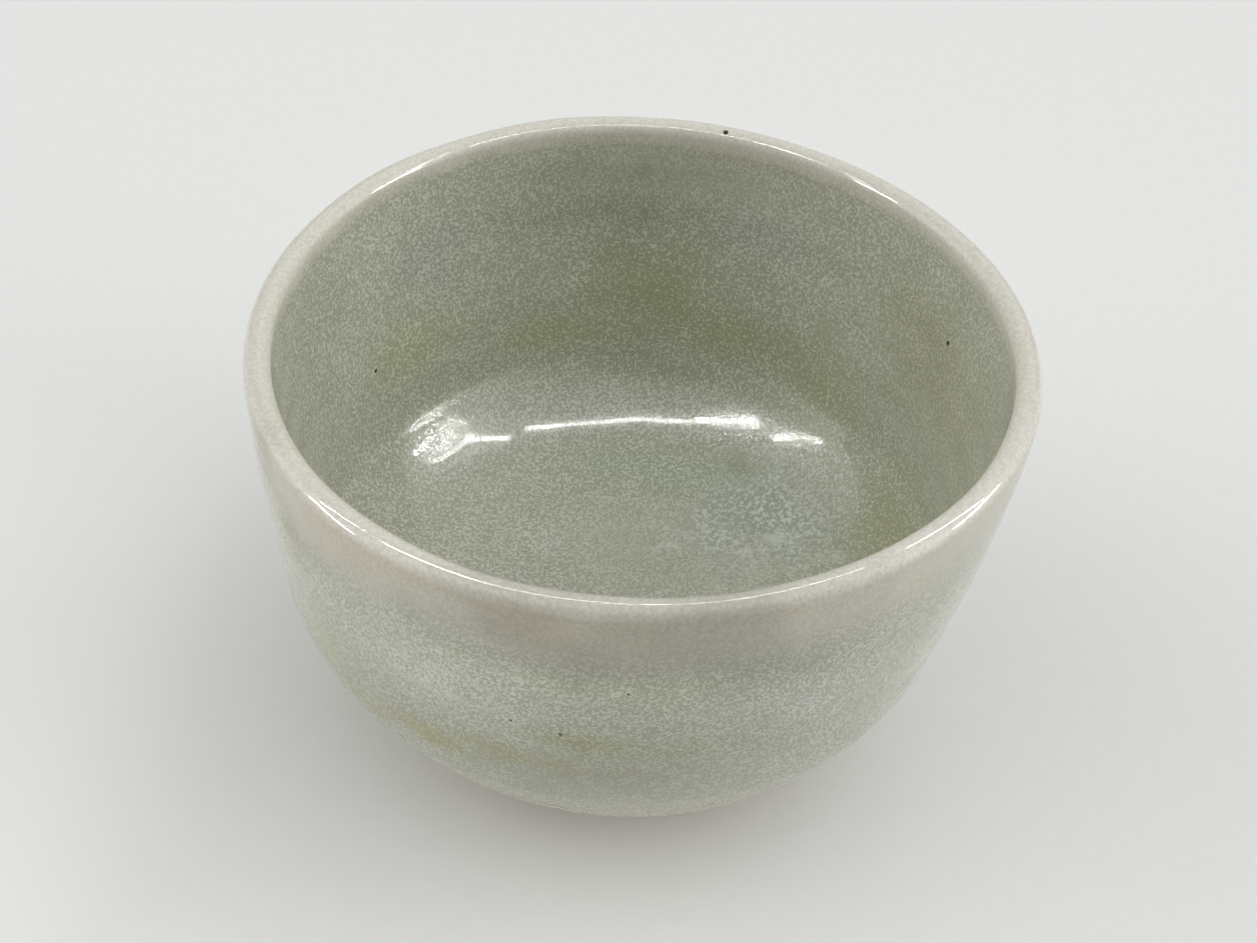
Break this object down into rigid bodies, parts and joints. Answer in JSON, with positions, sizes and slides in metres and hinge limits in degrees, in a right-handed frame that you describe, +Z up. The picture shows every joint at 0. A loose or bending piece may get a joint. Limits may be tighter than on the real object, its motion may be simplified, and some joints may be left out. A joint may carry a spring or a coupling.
{
  "type": "matcha bowl",
  "caption": "Round glazed stoneware bowl with a foot ring, for whisking and drinking powdered tea.",
  "frame": {"origin": "centre of the foot ring's resting face, on the bowl's axis", "axes": "+Z up along the bowl's axis; the bowl is round, so X and Y have no marked direction"},
  "size_m": [0.12, 0.12, 0.077],
  "materials": {
    "clay": "bare fired stoneware, matt",
    "grey_green_glaze": "satin gloss, mottled",
    "lip_glaze": "satin gloss, thin"
  },
  "bodies": {
    "root": {"clay_body": "clay", "foot_ring": "clay", "inner_glaze": "grey_green_glaze", "outer_glaze": "grey_green_glaze", "rim_glaze": "lip_glaze"}
  },
  "joints": []
}
